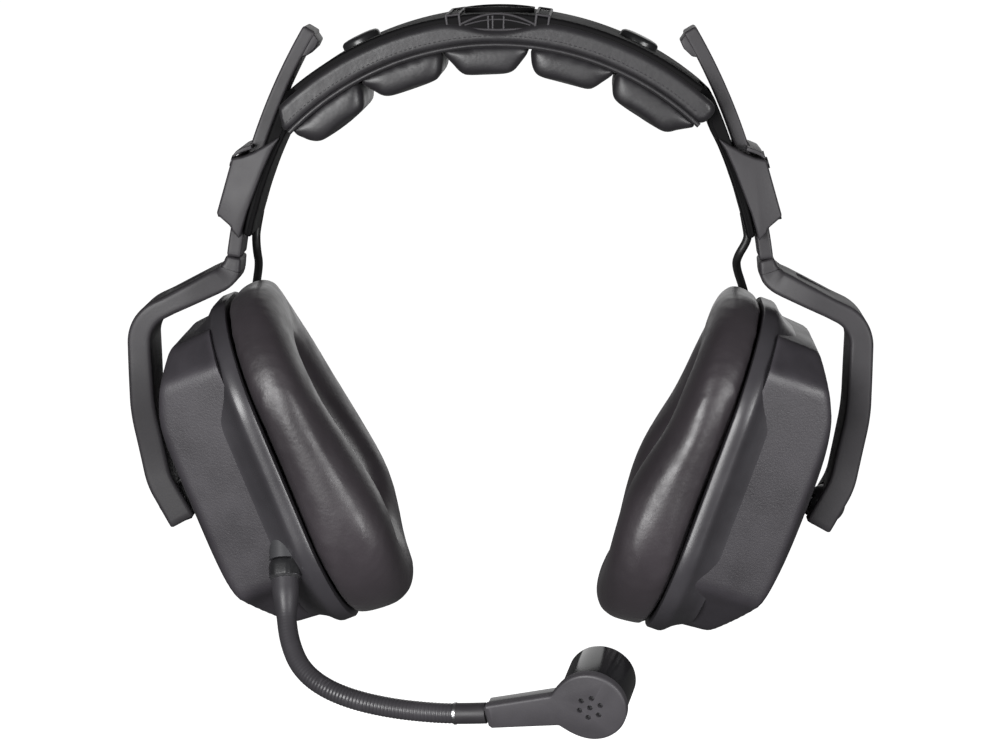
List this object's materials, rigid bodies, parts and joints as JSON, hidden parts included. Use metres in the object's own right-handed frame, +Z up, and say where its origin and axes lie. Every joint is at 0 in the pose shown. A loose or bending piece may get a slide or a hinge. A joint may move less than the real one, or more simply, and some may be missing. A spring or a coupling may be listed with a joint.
{
  "type": "headset microphone",
  "caption": "Two-cup headset with padded headband, curved sliding yoke arms, oval ear cushions, domed faceted cups and a gooseneck boom microphone.",
  "frame": {"origin": "where the crown of the wearer's head meets the middle pad lobe", "axes": "+Z up, -Y to the wearer's front, +X across the head from the boom cup to the plain cup"},
  "size_m": [0.2298, 0.1314, 0.2065],
  "materials": {
    "strap_plastic": "satin moulded, dark",
    "black_plastic": "satin moulded",
    "cup_plastic": "fine grained, moulded",
    "leatherette": "soft sheen",
    "foam": "open cell",
    "scrim_cloth": "fine woven",
    "wire_rubber": "smooth",
    "gooseneck_rubber": "ribbed",
    "spring_steel": "blued",
    "screw_steel": "black zinc",
    "chrome_stud": "bright",
    "bush_nylon": "smooth",
    "gland_metal": "satin",
    "boom_nut_plastic": "satin",
    "board": "laminate",
    "magnet_metal": "plated",
    "diaphragm_film": "clear film",
    "mic_matte": "fine grained",
    "mic_gloss": "polished"
  },
  "bodies": {
    "headband": {"outer_strap": "strap_plastic", "spring_band": "spring_steel", "head_pad_cover": "leatherette", "head_pad_core": "foam", "pad_lobes": "leatherette", "strap_buttons": "black_plastic", "strap_clips": "black_plastic", "centre_bridge": "black_plastic", "crossover_wire": "wire_rubber", "detent_springs": "spring_steel", "slider_screws": "screw_steel", "left_slider_housing": "black_plastic", "left_slider_collar": "black_plastic", "right_slider_housing": "black_plastic", "right_slider_collar": "black_plastic"},
    "left_arm": {"left_slider_strip": "black_plastic", "left_yoke_arm": "black_plastic", "left_arm_screws": "screw_steel", "left_wire_tail": "wire_rubber"},
    "left_gimbal": {"left_swivel_bush": "bush_nylon"},
    "left_cup": {"left_ball_stud": "chrome_stud", "left_cup_shell": "cup_plastic", "left_rim_ring": "cup_plastic", "left_baffle_plate": "black_plastic", "left_driver_frame": "black_plastic", "left_driver_diaphragm": "diaphragm_film", "left_driver_magnet": "magnet_metal", "left_damping_foam": "foam", "left_ear_cushion": "leatherette", "left_ear_scrim": "scrim_cloth", "left_cup_screws": "screw_steel", "cable_inlet": "wire_rubber", "boom_gland": "gland_metal", "terminal_board": "board"},
    "right_arm": {"right_slider_strip": "black_plastic", "right_yoke_arm": "black_plastic", "right_arm_screws": "screw_steel", "right_wire_tail": "wire_rubber"},
    "right_gimbal": {"right_swivel_bush": "bush_nylon"},
    "right_cup": {"right_ball_stud": "chrome_stud", "right_cup_shell": "cup_plastic", "right_rim_ring": "cup_plastic", "right_baffle_plate": "black_plastic", "right_driver_frame": "black_plastic", "right_driver_diaphragm": "diaphragm_film", "right_driver_magnet": "magnet_metal", "right_damping_foam": "foam", "right_ear_cushion": "leatherette", "right_ear_scrim": "scrim_cloth", "right_cup_screws": "screw_steel"},
    "boom_root": {"boom_nut": "boom_nut_plastic", "gooseneck_root": "gooseneck_rubber"},
    "boom_middle": {"gooseneck_middle": "gooseneck_rubber"},
    "boom_head": {"gooseneck_tip": "gooseneck_rubber", "mic_ferrule": "black_plastic", "mic_front": "mic_matte", "mic_back": "mic_gloss", "mic_foam": "foam", "mic_capsule": "magnet_metal"}
  },
  "joints": [
    {"name": "left_height", "type": "hinge", "parent": "headband", "child": "left_arm", "pos_m": [0.1014, 0, -0.08147], "axis": [0, -1, 0], "range_deg": [-1.5, 8], "deforming": ["left_wire_tail"]},
    {"name": "left_tilt", "type": "hinge", "parent": "left_arm", "child": "left_gimbal", "pos_m": [-0.10211, 0, -0.13506], "axis": [0, 1, 0], "range_deg": [-2, 8]},
    {"name": "left_swivel", "type": "hinge", "parent": "left_gimbal", "child": "left_cup", "pos_m": [-0.10211, 0, -0.13506], "axis": [-0.3746, 0, 0.9272], "range_deg": [-8, 8]},
    {"name": "right_height", "type": "hinge", "parent": "headband", "child": "right_arm", "pos_m": [-0.1014, 0, -0.08147], "axis": [0, 1, 0], "range_deg": [-1.5, 8], "deforming": ["right_wire_tail"]},
    {"name": "right_tilt", "type": "hinge", "parent": "right_arm", "child": "right_gimbal", "pos_m": [0.10211, 0, -0.13506], "axis": [0, -1, 0], "range_deg": [-2, 8]},
    {"name": "right_swivel", "type": "hinge", "parent": "right_gimbal", "child": "right_cup", "pos_m": [0.10211, 0, -0.13506], "axis": [0.3338, 0, 0.9426], "range_deg": [-8, 8]},
    {"name": "boom_swivel", "type": "hinge", "parent": "left_cup", "child": "boom_root", "pos_m": [-0.0638, -0.0395, -0.1506], "axis": [0.07, -0.4501, -0.8902], "range_deg": [-10, 150]},
    {"name": "boom_bend_lower", "type": "hinge", "parent": "boom_root", "child": "boom_middle", "pos_m": [-0.0611, -0.0508, -0.1684], "axis": [-0.3655, -0.9308, 0], "range_deg": [-12, 18]},
    {"name": "boom_bend_upper", "type": "hinge", "parent": "boom_middle", "child": "boom_head", "pos_m": [-0.03, -0.07, -0.1819], "axis": [-0.2641, -0.9645, 0], "range_deg": [-12, 18]}
  ]
}
